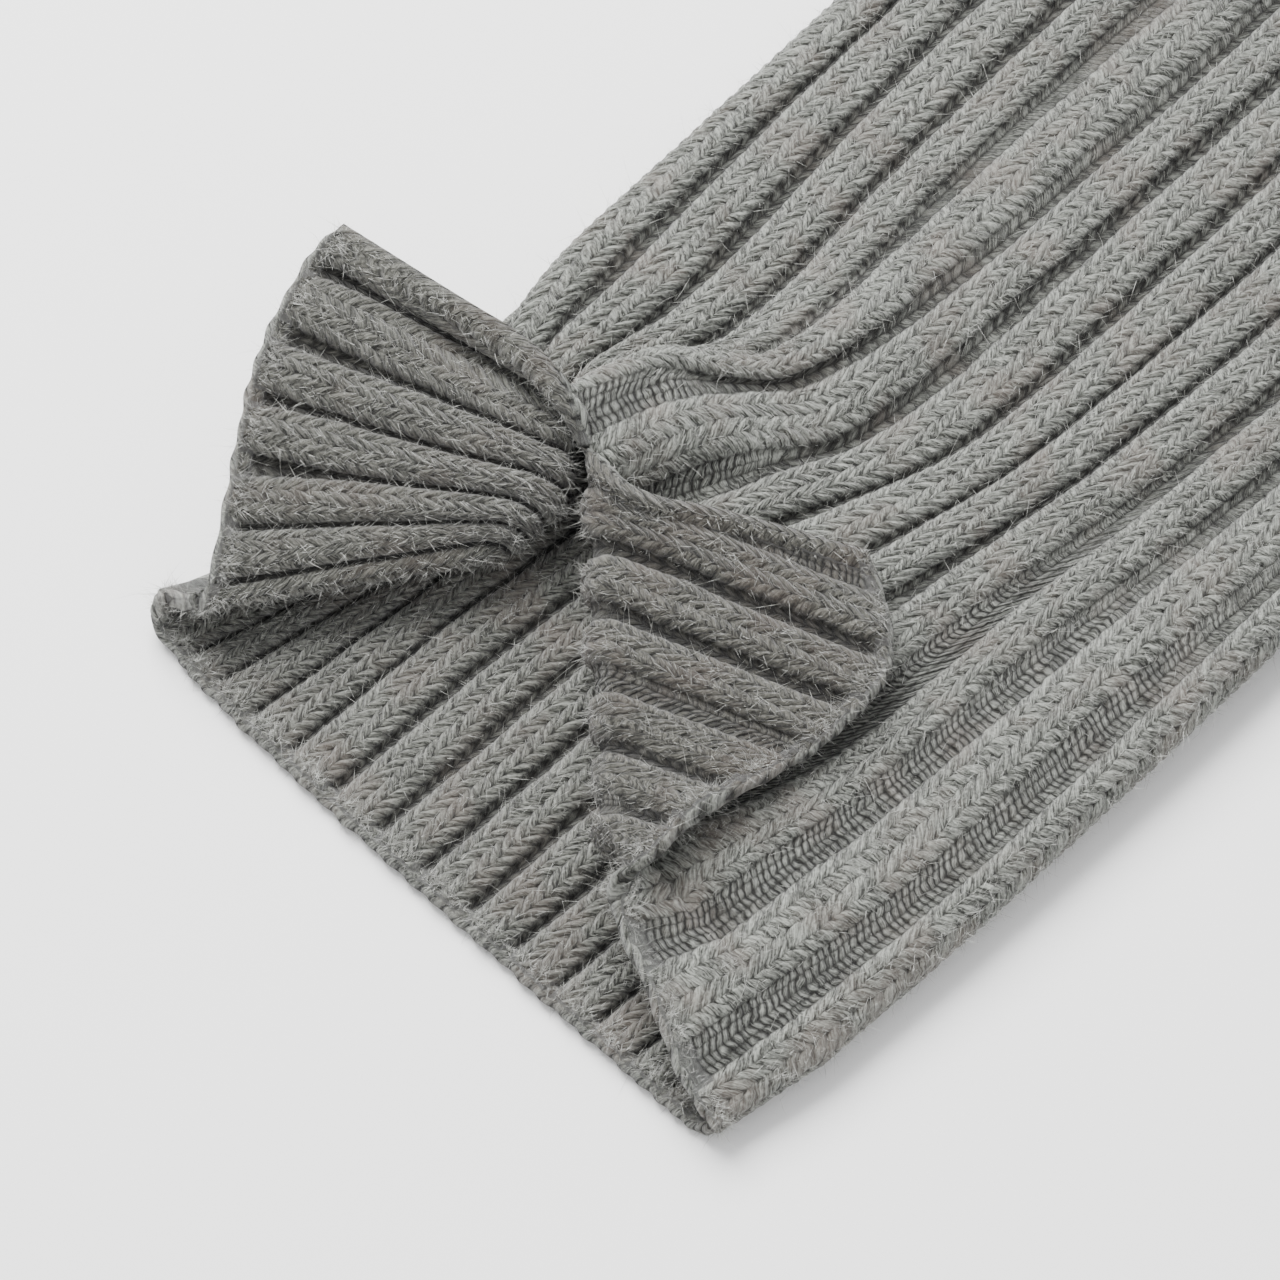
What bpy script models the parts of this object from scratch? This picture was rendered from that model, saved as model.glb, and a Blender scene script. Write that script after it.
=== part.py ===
"""Pair of ribbed knit leg warmers with slit hems, laid flat side by side. Metres, +Z up.

The tubes lie along Y with their slit hems at -Y. The first has its slit pulled open: the left side
of the slit stands off as a wing, the right side is turned back as a flap. The second lies closed.
"""

import bpy
import numpy as np

# Sizes in millimetres
RIBS = 28  # rib repeats round a tube, numbered from the left fold over the top layer
SLIT = 5.25  # where round the tube the slit is cut
LENGTH = 400.0
TOP = 9.3  # height of the top layer's middle surface
BOTTOM = 1.6  # the same of the bottom layer, whose underside is flat on the surface
WALL = 2.0  # plain wall
RELIEF = 1.4  # ribs over the plain wall
RIB_PITCH = 8.8  # width of one rib repeat
CLEAR = 3.4  # least distance between two stretches of middle surface
EASING = 100  # rounds of moving them apart
TAPER = 0.05  # share by which the far end is wider than the middle
APART = (153.0, 122.0)  # where the second lies from the first
CENTRE = (77.1, 258.26)  # middle of the pair's box

# The first mouth, a row for each rib line that the folds need. hem is where the line starts, fold
# where it turns, out where it is on the tube's outer side. roll is the radius of its fold, reach
# how far before the fold the cloth is level again and lift how much it stands above that.
MOUTH_COLUMNS = "rib hem_x hem_y hem_z fold_x fold_y fold_z out_x out_y out_z roll reach lift"
MOUTH = (
    (5.25, 18, 81.5, 15.5, -25, 62, 22, -20.5, 79.5, 18.5, 0, 9, 1.6),
    (6, 30, 74.2, 16, -17.5, 56, 15.5, -5, 82, 13, 3.3, 3.3, 0),
    (7, 36, 65.5, 15.5, -9.5, 48, 13.3, 3, 77, 10.8, 3.4, 3.4, 0),
    (8, 36.5, 54.4, 15.2, -1.5, 40, 13, 12.5, 70, 10, 3.4, 3.4, 0),
    (9, 34.6, 41.4, 16, 8.5, 31, 12.8, 21.5, 62, 9.6, 3.4, 3.4, 0),
    (9.6, 32, 27, 19.5, 17.5, 22.5, 12.7, 29.5, 55, 9.5, 3.2, 3.2, 0),
    (10, 32.2, 19.5, 19, 23, 17, 11.5, 35, 51, 9.5, 3, 3, 1.2),
    (10.35, 30.6, 12.7, 15.5, 31.5, 18, 10.6, 40, 49, 9.5, 0, 3, 0.8),
    (10.7, 34, 9, 12.8, 39, 18, 10, 44, 48, 9.5, 0, 4, 0),
    (11.15, 43, 5, 12.3, 47, 18, 9.8, 50, 47, 9.5, 0, 5, 0),
    (11.8, 55.5, -1, 10.5, 58.5, 16, 9.5, 62.3, 46, 9.5, 0, 5, 0),
    (12.3, 62.5, -3.4, 7.5, 66.5, 16, 8.5, 69.4, 46, 9, 0, 5, 0),
    (12.8, 67, -4, 4.5, 71, 16, 5, 72.5, 46, 5.3, 0, 5, 0),
    (13.4, 64, -5, 1.6, 67, 16, 1.6, 69, 46, 1.6, 0, 5, 0),
    (16.6, 40, -5.3, 1.6, 42.2, 20, 1.6, 42.5, 54, 1.6, 0, 5, 0),
    (20.8, -0.5, -5.5, 1.6, 0.8, 26, 1.6, 2.8, 62, 1.6, 0, 5, 0),
    (23.9, -31.5, -5.2, 1.6, -29, 29, 1.6, -25.5, 66, 1.6, 0, 5, 0),
    (25.9, -48.3, -4.2, 1.6, -39.3, 31.5, 1.6, -43.3, 71, 1.6, 0, 5, 0),
    (26.8, -54, -3.5, 1.6, -42.5, 32.5, 1.6, -49.5, 72.5, 1.6, 0, 5, 0),
    (27.3, -59.5, -2.5, 4, -45.5, 35, 5, -54, 72.5, 3.2, 0, 5, 0),
    (27.7, -59.5, -1, 9, -38, 38.5, 9, -55, 72, 5.8, 0, 5, 0),
    (28.1, -53, 3, 13.5, -25.5, 42.5, 10.8, -53, 71, 7.5, 2, 3, 0),
    (29, -60, 15.5, 19, -25, 49, 13, -47, 75, 9, 3.3, 3.3, 0),
    (30, -66.5, 25.5, 23, -24.5, 53, 13.8, -40, 77, 9.6, 3.3, 3.3, 0),
    (31, -71.5, 34.5, 26.5, -26.5, 57.3, 15.3, -34.5, 79, 10.5, 3.3, 3.3, 0),
    (32, -75.3, 45.5, 29.5, -31, 62.3, 17.8, -30.5, 81, 14.5, 2.8, 3, 0),
    (32.5, -76.8, 51.8, 31, -35, 67.5, 22, -28.5, 83, 19, 0.8, 8, 0),
    (33, -77.1, 55.5, 31.7, -29.5, 65.3, 22.8, -24, 81.5, 19.3, 0, 9, 0.5),
    (33.25, -77.3, 57.6, 32, -25, 62, 22, -20.5, 79.5, 18.5, 0, 14, 2.5),
)
WING_TURN = np.array([-22.0, -18.0, 0])  # how the wing's cloth turns left as it leaves its fold

# How far across the flat tube the furrows 1 to 12 between the ribs lie, at each distance along it
FURROWS = {
    95.0: (-48.8, -37.8, -28.5, -19.8, -13.5, 1.0, 10.5, 20.2, 28.3, 38.8, 50.5, 66.8),
    112.0: (-49.8, -38.3, -27.6, -17.8, -7.8, 3.3, 15.2, 23.6, 31.6, 41.2, 52.2, 67.2),
    150.0: (-50.4, -40.4, -29.7, -20.0, -5.8, 4.4, 16.2, 25.6, 34.6, 44.4, 55.0, 67.6),
    205.0: (-50.8, -40.6, -29.6, -18.8, -4.6, 5.4, 16.8, 26.6, 36.2, 46.2, 56.6, 67.8),
}
LEFT, RIGHT = -57.5, 73.8  # the tube's two folds
RIGHT_RIB = 12.8  # where round the tube the right fold is
FOLD_RIBS = 0.6  # ribs that go round each fold to either side
BENDS = (95.0, 112.0, 150.0, 205.0, 265.0, 330.0, 400.0)  # where the plain tube's rings are

# Rows of the mesh, as places between the rings. Ring 0 is the hem, 4 the fold and the slit's end,
# 7 the outer side beyond the fold, and 8 to 14 are the BENDS.
SLIT_RING = 4
ROWS_OPEN = (0, 0.4, 0.85, 1.3, 1.7, 2, 2.5, 3, 3.5, 4, 4.5, 5, 5.5, 6, 6.35, 6.7, 7, 7.5,
             8, 8.5, 9, 9.6, 10.2, 11, 12, 13, 14)
ROWS_PLAIN = (0, 2, 4, 7, 9, 11, 12.5, 14)
PROFILE = ((0.1, 0.0), (0.3, 1.0), (0.7, 1.0), (0.9, 0.0))  # place across a rib, share of RELIEF


def through(knots, values, at, closed=None):
    """Smooth curve through values at knots, read at the places at. closed is a closed ring's length."""
    knots, values, at = np.asarray(knots, float), np.asarray(values, float), np.asarray(at, float)
    if closed:
        knots = np.concatenate([knots[-3:-1] - closed, knots, knots[1:3] + closed])
        values = np.concatenate([values[-3:-1], values, values[1:3]])
    gaps = np.diff(knots)
    slopes = np.diff(values, axis=0) / gaps[:, None]
    tangents = np.empty_like(values)
    mix = (gaps[1:] / (gaps[1:] + gaps[:-1]))[:, None]
    tangents[1:-1] = slopes[:-1] * mix + slopes[1:] * (1 - mix)
    most = 3 * np.minimum(abs(slopes[:-1]), abs(slopes[1:])) * (slopes[:-1] * slopes[1:] > 0)
    tangents[1:-1] = np.clip(tangents[1:-1], -most, most)  # so that no bend swings past its knot
    tangents[0], tangents[-1] = slopes[0], slopes[-1]
    i = np.clip(np.searchsorted(knots, at, side="right") - 1, 0, len(gaps) - 1)
    u = ((at - knots[i]) / gaps[i])[:, None]
    g = gaps[i][:, None]
    return (
        values[i] * (1 + 2 * u) * (1 - u) ** 2
        + tangents[i] * g * u * (1 - u) ** 2
        + values[i + 1] * u * u * (3 - 2 * u)
        + tangents[i + 1] * g * u * u * (u - 1)
    )


def tube(rib, y, pulled=1.0):
    """Middle surface of the flat tube at these rib places and this distance along it."""
    rib = np.mod(np.asarray(rib, float) + FOLD_RIBS, RIBS) - FOLD_RIBS
    radius = (TOP - BOTTOM) / 2
    left_top, right_top, right_low = FOLD_RIBS, RIGHT_RIB - FOLD_RIBS, RIGHT_RIB + FOLD_RIBS
    table = np.array(list(FURROWS.values()))
    lines = [np.interp(y if pulled else 150.0, list(FURROWS), column) for column in table.T]
    x = np.interp(rib, [left_top, *range(1, 13), right_top], [LEFT + radius, *lines, RIGHT - radius])
    z = np.full(len(rib), TOP)
    turn = np.pi * rib / (2 * FOLD_RIBS)
    left = rib < left_top
    x[left] = (LEFT + radius * (1 - np.cos(turn)))[left]
    z[left] = (BOTTOM + radius * (1 + np.sin(turn)))[left]
    turn = np.pi * (rib - RIGHT_RIB) / (2 * FOLD_RIBS)
    right = (rib > right_top) & (rib < right_low)
    x[right] = (RIGHT - radius * (1 - np.cos(turn)))[right]
    z[right] = (BOTTOM + radius * (1 - np.sin(turn)))[right]
    under = rib >= right_low
    x[under] = np.interp(rib[under], (right_low, RIBS - FOLD_RIBS), (RIGHT - radius, LEFT + radius))
    z[under] = BOTTOM
    over = np.clip((z - BOTTOM) / (TOP - BOTTOM), 0, 1)
    fade = pulled * np.clip((165 - y) / 60, 0, 1) ** 2 * (y > 70)
    ridge = 5.2 * np.exp(-(((rib - 4.6) / 1.0) ** 2)) * fade
    wave = 0.5 * np.sin(y / 47 + rib * 0.9) + 0.35 * np.sin(y / 29 - rib * 1.7)
    z = z + over * (ridge + wave)
    middle = (LEFT + RIGHT) / 2
    x = middle + (x - middle) * (1 + TAPER * np.clip((y - 100) / 200, 0, 1))
    return np.stack([x, np.full(len(x), float(y)), z], -1)


def open_mouth(rib):
    """The first tube's rings as arrays of points at these rib places, from the hem on."""
    rows = {name: column for name, column in zip(MOUTH_COLUMNS.split(), np.array(MOUTH, float).T)}
    hem, fold, out = (np.stack([rows[f"{p}_{a}"] for a in "xyz"], -1) for p in ("hem", "fold", "out"))
    roll, reach, lift = rows["roll"][:, None], rows["reach"][:, None], rows["lift"][:, None]
    up, flat = np.array([0, 0, 1.0]), np.array([1.0, 1.0, 0])

    def step(start, goal, far, rise):
        path = (goal - start - rise * up) * flat
        long = np.linalg.norm(path, axis=1, keepdims=True)
        climb = (goal - start)[:, 2:] - rise
        return start + path / long * far + up * (rise + climb * far / long)

    before = step(fold, hem, reach, roll) + lift * up
    before[0, 1] -= 4.5
    before[-1, 1] += 6
    turn = np.clip(32 - rows["rib"], 0, 1) * np.clip(rows["rib"] - RIBS, 0, 1)
    beyond = out + turn[:, None] * WING_TURN
    after = step(fold, beyond, np.where(roll > 0, reach, 5.0), -roll)
    arc = np.array([0.3, 0.3, 0.7])  # an eighth of a turn round the fold, of its reach and height
    above, below = fold + arc * (before - fold), fold + arc * (after - fold)
    rings = [hem, (hem + before) / 2, before, above, fold, below, after, out]
    shut = [None] * SLIT_RING + [RIBS] * 4
    return [through(rows["rib"], ring, rib, closed) for ring, closed in zip(rings, shut)] + [
        tube(rib, y) for y in BENDS
    ]


def closed_mouth(rib):
    """The second tube's rings: the slit's edges lie side by side."""
    ys = (0.0, 16.0, 32.0, 43.0, 54.0, 62.0, 70.0, 78.0) + BENDS
    rings = [tube(rib, y, pulled=0.0) for y in ys]
    side = np.where(rib < 19, 1.0, -1.0) * np.exp(-np.minimum(rib - SLIT, SLIT + RIBS - rib))
    for ring, gap in zip(rings, (2.6, 1.9, 1.2, 0.6)):
        ring[:, 0] += gap * side
    return rings


def surface(rings, rows):
    """Middle surface as rows x ribs x 3: each rib line is a smooth curve through its rings."""
    rings = np.array(rings)
    grid = np.empty((len(rows),) + rings.shape[1:])
    for j in range(rings.shape[1]):
        line = rings[:, j]
        chords = np.concatenate([[0], np.cumsum(np.linalg.norm(np.diff(line, axis=0), axis=1) ** 0.75)])
        grid[:, j] = through(chords, line, np.interp(rows, np.arange(len(chords)), chords))
    return grid


def ease(grid, rib, slit_row, last_row):
    """Moves stretches of the middle surface apart where they lie too near for the wall between them."""
    part = grid[:last_row]
    m, n = part.shape[:2]
    long = np.concatenate([np.zeros((1, n)), np.cumsum(np.linalg.norm(np.diff(part, axis=0), axis=-1), 0)])
    place, along = np.tile(rib, m), (long - long[slit_row]).ravel()
    shut = np.repeat(np.arange(m) >= slit_row, n)
    apart = abs(place[:, None] - place)
    apart = np.where(shut[:, None] & shut, np.minimum(apart, RIBS - apart), apart)
    cloth = np.hypot(apart * RIB_PITCH, along[:, None] - along)
    end = np.hypot(np.minimum(place - rib[0], rib[-1] - place) * RIB_PITCH, along)
    cloth = np.minimum(cloth, end[:, None] + end)
    need = np.where(cloth > 3.5, np.minimum(0.62 * cloth, CLEAR), 0)
    free = (part[..., 2] > BOTTOM + 0.5)[..., None]
    start, moved = part.copy(), np.zeros_like(part)
    for _ in range(EASING):
        p = (start + moved).reshape(-1, 3)
        square = (p**2).sum(1)
        gap = np.sqrt(np.maximum(square[:, None] + square - 2 * p @ p.T, 1e-6))
        push = np.where(gap < need, (need - gap) / gap, 0)
        step = (push.sum(1)[:, None] * p - push @ p) / np.maximum((push > 0).sum(1), 1)[:, None]
        moved = (moved + 0.5 * step.reshape(m, n, 3)) * free
        moved[slit_row:, -1] = moved[slit_row:, 0] = (moved[slit_row:, -1] + moved[slit_row:, 0]) / 2
        wide = np.pad(moved, ((1, 1), (1, 1), (0, 0)), mode="edge")
        wide[slit_row + 1 : -1, 0], wide[slit_row + 1 : -1, -1] = moved[slit_row:, -2], moved[slit_row:, 1]
        around = (wide[:-2, 1:-1] + wide[2:, 1:-1] + wide[1:-1, :-2] + wide[1:-1, 2:]) / 4
        moved = (0.85 * moved + 0.15 * around) * free
    return np.concatenate([start + moved, grid[last_row:]])


def normals(grid, slit_row):
    """Outward unit normals of the middle surface, closed round beyond the slit."""
    wide = np.concatenate([grid[:, -2:-1], grid, grid[:, 1:2]], axis=1)
    wide[:slit_row, 0] = 2 * grid[:slit_row, 0] - grid[:slit_row, 1]
    wide[:slit_row, -1] = 2 * grid[:slit_row, -1] - grid[:slit_row, -2]
    across = wide[:, 2:] - wide[:, :-2]
    along = np.gradient(grid, axis=0)
    n = np.cross(across, along)
    return n / np.linalg.norm(n, axis=-1, keepdims=True)


def room(grid, out):
    """Radius of the tightest bend towards the outer side at each point, in either direction."""
    bend = np.zeros(grid.shape[:2])
    for axis in (0, 1):
        g = np.moveaxis(grid, axis, 0)
        edge = np.diff(g, axis=0)
        long = np.linalg.norm(edge, axis=-1, keepdims=True)
        turn = np.diff(edge / long, axis=0) * 2 / (long[1:] + long[:-1])
        bent = np.zeros(g.shape[:2])
        bent[1:-1] = (turn * np.moveaxis(out, axis, 0)[1:-1]).sum(-1)
        bend = np.maximum(bend, np.moveaxis(bent, 0, axis))
    wide = np.pad(bend, 1, mode="edge")
    m, n = bend.shape
    around = [wide[i : i + m, j : j + n] for i in range(3) for j in range(3)]
    return 1 / np.maximum(np.max(around, axis=0), 0.01)


def leg_warmer(name, mouth, rows, shift, material):
    """One closed solid: the wall about the middle surface, ribs raised on its outer side."""
    places, shares = zip(*PROFILE)
    rib = np.concatenate([k + np.array(places) for k in range(5, 34)])
    share = np.tile(shares, 29)
    inside = (rib > SLIT + 0.04) & (rib < SLIT + RIBS - 0.04)
    rib = np.concatenate([[SLIT], rib[inside], [SLIT + RIBS]])
    share = np.concatenate([[0.5], share[inside], [0.5]])
    grid = surface(mouth(rib), rows)
    slit_row = rows.index(SLIT_RING)
    grid[slit_row:, -1] = grid[slit_row:, 0]
    if mouth is open_mouth:
        grid = ease(grid, rib, slit_row, rows.index(9) + 1)
    out = normals(grid, slit_row)
    out[slit_row:, 0] = out[slit_row:, -1] = (out[slit_row:, 0] + out[slit_row:, -1]) / 2
    rest = np.clip((BOTTOM + 1.6 - grid[..., 2]) / 1.6, 0, 1)  # 1 on the part that rests
    rest = np.where(((rib > RIGHT_RIB - 0.1) & (rib < RIBS + 0.1))[None, :], rest, 0)
    relief = RELIEF * share[None, :] * (1 - rest)
    if mouth is open_mouth:  # ribs are squeezed flat where a fold starts and where it runs out
        for start in (grid[slit_row, 0], grid[0, abs(rib - 10.3).argmin()]):
            relief *= np.clip((np.linalg.norm(grid - start, axis=-1) - 6) / 9, 0, 1)
    outer = np.clip(WALL / 2 + relief, None, np.maximum(0.4 * room(grid, out), 0.5))
    inner = np.clip(WALL / 2, None, np.maximum(0.4 * room(grid, -out), 0.5))
    outer = outer * (1 - rest) + BOTTOM * rest
    points = [grid + out * outer[..., None], grid - out * inner[..., None]]
    points[0][..., 2] = np.where(rest > 0.85, 0.0, np.maximum(points[0][..., 2], 0.0))

    # Vertices: two layers, whose last column is the first one from the slit's end on
    m, n = grid.shape[:2]
    index = np.arange(2 * m * n).reshape(2, m, n)
    index[:, slit_row:, -1] = index[:, slit_row:, 0]
    faces = []
    for layer, turned in ((0, False), (1, True)):
        for i in range(m - 1):
            for j in range(n - 1):
                this, following = index[layer, i], index[layer, i + 1]
                q = [this[j], this[j + 1], following[j + 1], following[j]]
                faces.append(q[::-1] if turned else q)

    def rim(edge, turned):
        for (i, j), (k, l) in zip(edge[:-1], edge[1:]):
            q = [index[0, i, j], index[1, i, j], index[1, k, l], index[0, k, l]]
            faces.append(q[::-1] if turned else q)

    rim([(0, j) for j in range(n)], False)
    rim([(m - 1, j) for j in range(n)], True)
    rim([(i, 0) for i in range(slit_row + 1)], True)
    rim([(i, n - 1) for i in range(slit_row + 1)], False)

    co = np.concatenate([p.reshape(-1, 3) for p in points])
    co = (co + np.array([shift[0] - CENTRE[0], shift[1] - CENTRE[1], 0])) / 1000
    used = sorted({v for f in faces for v in f})
    renumber = {v: i for i, v in enumerate(used)}
    mesh = bpy.data.meshes.new(name)
    mesh.from_pydata([tuple(co[v]) for v in used], [], [[renumber[v] for v in f] for f in faces])
    mesh.materials.append(material)
    mesh.validate()
    obj = bpy.data.objects.new(name, mesh)
    collection.objects.link(obj)
    return obj


for old in list(bpy.data.objects):
    bpy.data.objects.remove(old)

collection = bpy.data.collections.new("leg_warmers")
bpy.context.scene.collection.children.link(collection)

knit = bpy.data.materials.new("grey_rib_knit")
knit.use_nodes = True
shader = knit.node_tree.nodes["Principled BSDF"]
shader.inputs["Base Color"].default_value = (0.20, 0.20, 0.195, 1)
shader.inputs["Roughness"].default_value = 0.95
shader.inputs["Sheen Weight"].default_value = 0.4

leg_warmer("leg_warmer_slit_open", open_mouth, ROWS_OPEN, (0, 0), knit)
leg_warmer("leg_warmer_slit_closed", closed_mouth, ROWS_PLAIN, APART, knit)
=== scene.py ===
"""Looks of a pair of ribbed knit leg warmers with slit hems, laid flat on a pale table.

Each leg warmer is one knitted tube, drawn as three closed panels that meet in its furrows, with every
stitch of the 2x2 rib as relief on both faces, and the loose fibres of the yarn over it.
"""

import bmesh
import bpy
import numpy as np
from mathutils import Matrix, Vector


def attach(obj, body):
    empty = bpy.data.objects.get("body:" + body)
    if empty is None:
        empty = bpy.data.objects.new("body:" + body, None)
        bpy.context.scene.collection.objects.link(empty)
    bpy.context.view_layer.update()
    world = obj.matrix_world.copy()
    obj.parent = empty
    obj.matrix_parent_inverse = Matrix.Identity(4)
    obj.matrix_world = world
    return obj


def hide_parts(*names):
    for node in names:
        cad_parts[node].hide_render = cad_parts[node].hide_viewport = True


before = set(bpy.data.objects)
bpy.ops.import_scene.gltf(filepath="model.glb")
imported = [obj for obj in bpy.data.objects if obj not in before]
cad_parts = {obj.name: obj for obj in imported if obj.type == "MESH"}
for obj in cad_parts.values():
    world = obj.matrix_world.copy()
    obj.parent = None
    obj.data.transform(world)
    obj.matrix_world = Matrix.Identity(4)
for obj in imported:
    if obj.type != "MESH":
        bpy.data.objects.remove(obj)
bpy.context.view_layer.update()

# Table, light and camera. The table is matt white laminate, lit by one broad soft light from the
# left and the room's even light. The camera looks down at the hem from its lower right.
MM = 0.001
CENTRE = (77.1, 258.26)  # from the first hem's middle to the middle of the pair
TABLE_SIDE = 6.0
# The light and the camera, and what they point at, in millimetres from the first hem's middle
LIGHT_AT, LIGHT_AIM = (-800, 420, 1150), (0, 70, 0)
CAMERA_AT, CAMERA_AIM = (354.53, -318.57, 1029.17), (-1.918, 50.542, 0)
LENS, SENSOR = 198.4, 36


def linear(colour):
    """An sRGB hex colour as the linear one that a shader takes."""
    parts = [int(colour[i : i + 2], 16) / 255 for i in (1, 3, 5)]
    return tuple(p / 12.92 if p <= 0.04045 else ((p + 0.055) / 1.055) ** 2.4 for p in parts) + (1.0,)


def new_material(name, **settings):
    """A material and its Principled shader, with these sockets set."""
    material = bpy.data.materials.new(name)
    material.use_nodes = True
    shader = material.node_tree.nodes["Principled BSDF"]
    for socket, value in settings.items():
        shader.inputs[socket.replace("_", " ")].default_value = value
    return material, shader


def add(tree, kind, links=(), **settings):
    """Adds a node. links are (socket of the new node, output it takes)."""
    node = tree.nodes.new(kind)
    for key, value in settings.items():
        setattr(node, key, value)
    for socket, source in links:
        if hasattr(source, "is_output"):
            tree.links.new(source, node.inputs[socket])
        else:
            node.inputs[socket].default_value = source
    return node


def hem_point(x, y, z):
    """A point given in millimetres from the first hem's middle, in the frame."""
    return Vector(((x - CENTRE[0]) * MM, (y - CENTRE[1]) * MM, z * MM))


def aim(thing, at, to):
    """Puts a light or camera at one point, turned to another."""
    thing.location = hem_point(*at)
    thing.rotation_euler = (hem_point(*to) - thing.location).to_track_quat("-Z", "Y").to_euler()
    bpy.context.collection.objects.link(thing)


laminate, shader = new_material("matt_white_laminate", Base_Color=linear("#fbfbfa"), Roughness=0.6)
bm = bmesh.new()
bmesh.ops.create_grid(bm, x_segments=1, y_segments=1, size=TABLE_SIDE / 2)
mesh = bpy.data.meshes.new("table_top")
bm.to_mesh(mesh)
mesh.materials.append(laminate)
table = bpy.data.objects.new("table_top", mesh)
bpy.context.collection.objects.link(table)

world = bpy.data.worlds.new("room")
bpy.context.scene.world = world
world.use_nodes = True
world.node_tree.nodes["Background"].inputs["Color"].default_value = linear("#f4f4f6")
world.node_tree.nodes["Background"].inputs["Strength"].default_value = 1.2

softbox = bpy.data.lights.new("softbox", "AREA")
softbox.size, softbox.energy = 1.0, 59
aim(bpy.data.objects.new("softbox", softbox), LIGHT_AT, LIGHT_AIM)

lens = bpy.data.cameras.new("camera")
lens.lens, lens.sensor_width, lens.clip_start = LENS, SENSOR, 0.01
camera = bpy.data.objects.new("camera", lens)
aim(camera, CAMERA_AT, CAMERA_AIM)
bpy.context.scene.camera = camera

# First leg warmer, slit pulled open. One tube of 2x2 rib in a soft grey melange wool, 28 ribs round,
# knitted without a seam. Its shape is the cloth's middle surface, by the same table as the solid.
RIBS = 28  # rib repeats, numbered from the left fold over the top layer
SLIT = 5.25  # where round the tube the slit is cut
OPPOSITE = 19  # the rib across from the slit, where its left and right sides part
SLIT_COURSES = 20
TOP, BOTTOM = 9.3, 1.6  # heights of the two layers' middle surfaces, in millimetres
RIB_PITCH, CLEAR, EASING = 8.8, 3.4, 100  # for ease: a rib's width, the least distance and the passes
TAPER = 0.05  # how much wider the far half of the tube gets
MOUTH_COLUMNS = "rib hem_x hem_y hem_z fold_x fold_y fold_z out_x out_y out_z roll reach lift"
MOUTH = (
    (5.25, 18, 81.5, 15.5, -25, 62, 22, -20.5, 79.5, 18.5, 0, 9, 1.6),
    (6, 30, 74.2, 16, -17.5, 56, 15.5, -5, 82, 13, 3.3, 3.3, 0),
    (7, 36, 65.5, 15.5, -9.5, 48, 13.3, 3, 77, 10.8, 3.4, 3.4, 0),
    (8, 36.5, 54.4, 15.2, -1.5, 40, 13, 12.5, 70, 10, 3.4, 3.4, 0),
    (9, 34.6, 41.4, 16, 8.5, 31, 12.8, 21.5, 62, 9.6, 3.4, 3.4, 0),
    (9.6, 32, 27, 19.5, 17.5, 22.5, 12.7, 29.5, 55, 9.5, 3.2, 3.2, 0),
    (10, 32.2, 19.5, 19, 23, 17, 11.5, 35, 51, 9.5, 3, 3, 1.2),
    (10.35, 30.6, 12.7, 15.5, 31.5, 18, 10.6, 40, 49, 9.5, 0, 3, 0.8),
    (10.7, 34, 9, 12.8, 39, 18, 10, 44, 48, 9.5, 0, 4, 0),
    (11.15, 43, 5, 12.3, 47, 18, 9.8, 50, 47, 9.5, 0, 5, 0),
    (11.8, 55.5, -1, 10.5, 58.5, 16, 9.5, 62.3, 46, 9.5, 0, 5, 0),
    (12.3, 62.5, -3.4, 7.5, 66.5, 16, 8.5, 69.4, 46, 9, 0, 5, 0),
    (12.8, 67, -4, 4.5, 71, 16, 5, 72.5, 46, 5.3, 0, 5, 0),
    (13.4, 64, -5, 1.6, 67, 16, 1.6, 69, 46, 1.6, 0, 5, 0),
    (16.6, 40, -5.3, 1.6, 42.2, 20, 1.6, 42.5, 54, 1.6, 0, 5, 0),
    (20.8, -0.5, -5.5, 1.6, 0.8, 26, 1.6, 2.8, 62, 1.6, 0, 5, 0),
    (23.9, -31.5, -5.2, 1.6, -29, 29, 1.6, -25.5, 66, 1.6, 0, 5, 0),
    (25.9, -48.3, -4.2, 1.6, -39.3, 31.5, 1.6, -43.3, 71, 1.6, 0, 5, 0),
    (26.8, -54, -3.5, 1.6, -42.5, 32.5, 1.6, -49.5, 72.5, 1.6, 0, 5, 0),
    (27.3, -59.5, -2.5, 4, -45.5, 35, 5, -54, 72.5, 3.2, 0, 5, 0),
    (27.7, -59.5, -1, 9, -38, 38.5, 9, -55, 72, 5.8, 0, 5, 0),
    (28.1, -53, 3, 13.5, -25.5, 42.5, 10.8, -53, 71, 7.5, 2, 3, 0),
    (29, -60, 15.5, 19, -25, 49, 13, -47, 75, 9, 3.3, 3.3, 0),
    (30, -66.5, 25.5, 23, -24.5, 53, 13.8, -40, 77, 9.6, 3.3, 3.3, 0),
    (31, -71.5, 34.5, 26.5, -26.5, 57.3, 15.3, -34.5, 79, 10.5, 3.3, 3.3, 0),
    (32, -75.3, 45.5, 29.5, -31, 62.3, 17.8, -30.5, 81, 14.5, 2.8, 3, 0),
    (32.5, -76.8, 51.8, 31, -35, 67.5, 22, -28.5, 83, 19, 0.8, 8, 0),
    (33, -77.1, 55.5, 31.7, -29.5, 65.3, 22.8, -24, 81.5, 19.3, 0, 9, 0.5),
    (33.25, -77.3, 57.6, 32, -25, 62, 22, -20.5, 79.5, 18.5, 0, 14, 2.5),
)
WING_TURN = np.array([-22.0, -18.0, 0])  # moves the wing's root out to its side
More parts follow.
